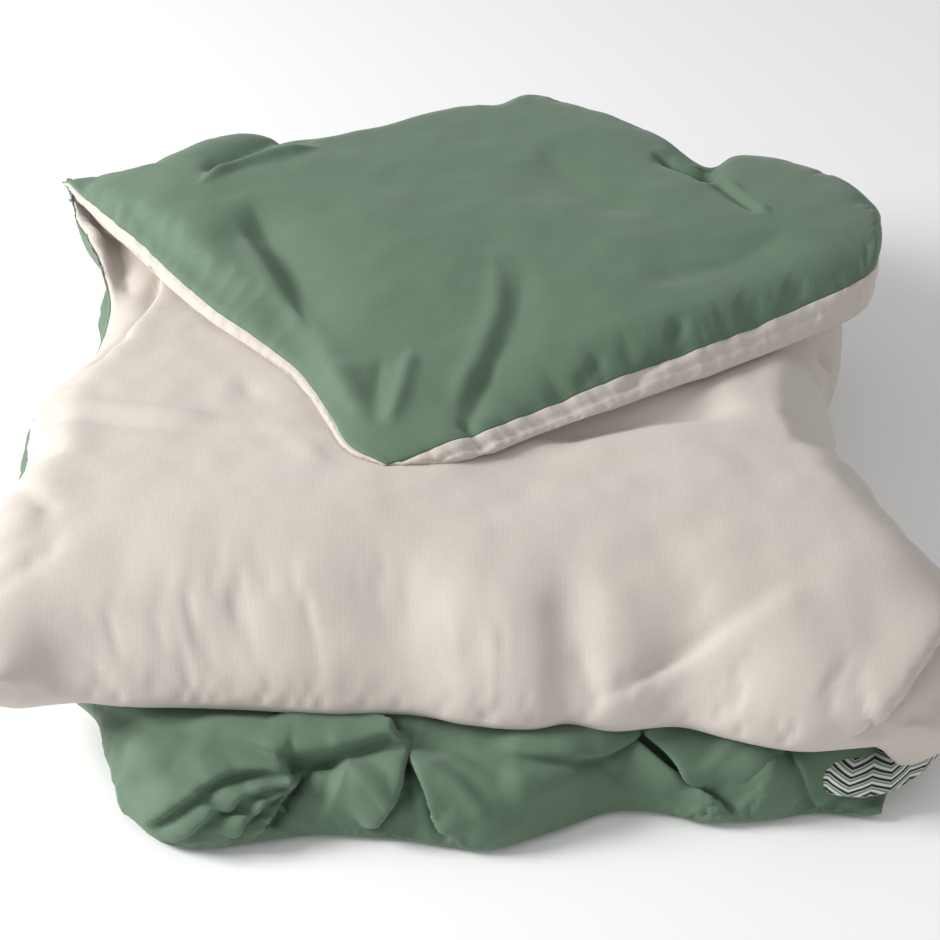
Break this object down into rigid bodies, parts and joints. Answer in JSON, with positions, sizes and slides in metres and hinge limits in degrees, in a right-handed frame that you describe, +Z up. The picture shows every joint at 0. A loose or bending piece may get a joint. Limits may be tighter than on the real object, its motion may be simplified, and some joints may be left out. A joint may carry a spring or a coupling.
{
  "type": "folded duvet",
  "caption": "Filled duvet in a two-colour cover, folded in half on a bed with its ends tucked between the halves and one corner turned over.",
  "frame": {"origin": "middle of the footprint, on the bed surface", "axes": "+X to the right along the front, +Y from the open front to the back fold, +Z up"},
  "size_m": [1.234, 1.3314, 0.3284],
  "materials": {
    "cover_green": "sage green cotton, softly brushed, fine plain weave",
    "cover_beige": "warm oatmeal cotton, softly brushed, fine plain weave",
    "ticking": "black, white and sage herringbone weave",
    "wadding": "matt fibre wadding",
    "cotton_tape": "narrow woven cotton tape",
    "zip_tape": "close woven polyester tape",
    "zip_teeth": "coiled nylon chain",
    "zip_metal": "satin cast metal"
  },
  "bodies": {
    "pile": {"cover_green_lower": "cover_green", "ticking_top_lower": "ticking", "fill_lower": "wadding", "ticking_bottom_lower": "ticking", "cover_beige_lower": "cover_beige", "insert_loop_lower": "cotton_tape", "cover_tie_lower": "cotton_tape", "cover_green_foot_tuck": "cover_green", "ticking_top_foot_tuck": "ticking", "fill_foot_tuck": "wadding", "ticking_bottom_foot_tuck": "ticking", "cover_beige_foot_tuck": "cover_beige", "insert_loop_foot_tuck": "cotton_tape", "cover_tie_foot_tuck": "cotton_tape", "cover_beige_head_tuck": "cover_beige", "ticking_top_head_tuck": "ticking", "fill_head_tuck": "wadding", "ticking_bottom_head_tuck": "ticking", "cover_green_head_tuck": "cover_green", "insert_loop_head_tuck": "cotton_tape", "cover_tie_head_tuck": "cotton_tape", "cover_beige_upper": "cover_beige", "ticking_top_upper": "ticking", "fill_upper": "wadding", "ticking_bottom_upper": "ticking", "cover_green_upper": "cover_green", "cover_green_back_fold": "cover_green", "ticking_top_back_fold": "ticking", "fill_back_fold": "wadding", "ticking_bottom_back_fold": "ticking", "cover_beige_back_fold": "cover_beige", "cover_beige_side_fold": "cover_beige", "ticking_side_fold": "ticking", "fill_side_fold": "wadding", "ticking_mouth_bottom": "ticking", "fill_mouth": "wadding", "ticking_mouth_top": "ticking", "zip_tape_front": "zip_tape", "zip_tape_back": "zip_tape", "zip_chain": "zip_teeth", "zip_bottom_stop": "zip_metal", "zip_top_stop": "zip_metal"},
    "turned_corner": {"cover_green_corner": "cover_green", "ticking_top_corner": "ticking", "fill_corner": "wadding", "ticking_bottom_corner": "ticking", "cover_beige_corner": "cover_beige", "insert_loop_corner": "cotton_tape", "cover_tie_corner": "cotton_tape", "corner_hem_left": "cover_beige", "corner_hem_right": "cover_beige"},
    "zip_slider": {"zip_slider": "zip_metal"},
    "zip_pull": {"zip_pull": "zip_metal"}
  },
  "joints": [
    {"name": "corner_fold", "type": "hinge", "parent": "pile", "child": "turned_corner", "pos_m": [-0.0109, 0.4049, 0.3324], "axis": [-0.9879, 0.1549, 0], "range_deg": [0, 110]},
    {"name": "zip_travel", "type": "slide", "parent": "pile", "child": "zip_slider", "axis": [-0.999, 0.0456, 0], "range_m": [0, 0.596]},
    {"name": "pull_swing", "type": "hinge", "parent": "zip_slider", "child": "zip_pull", "pos_m": [0.28299, -0.50736, 0.09745], "axis": [-0.0456, -0.999, 0], "range_deg": [0, 150]}
  ]
}
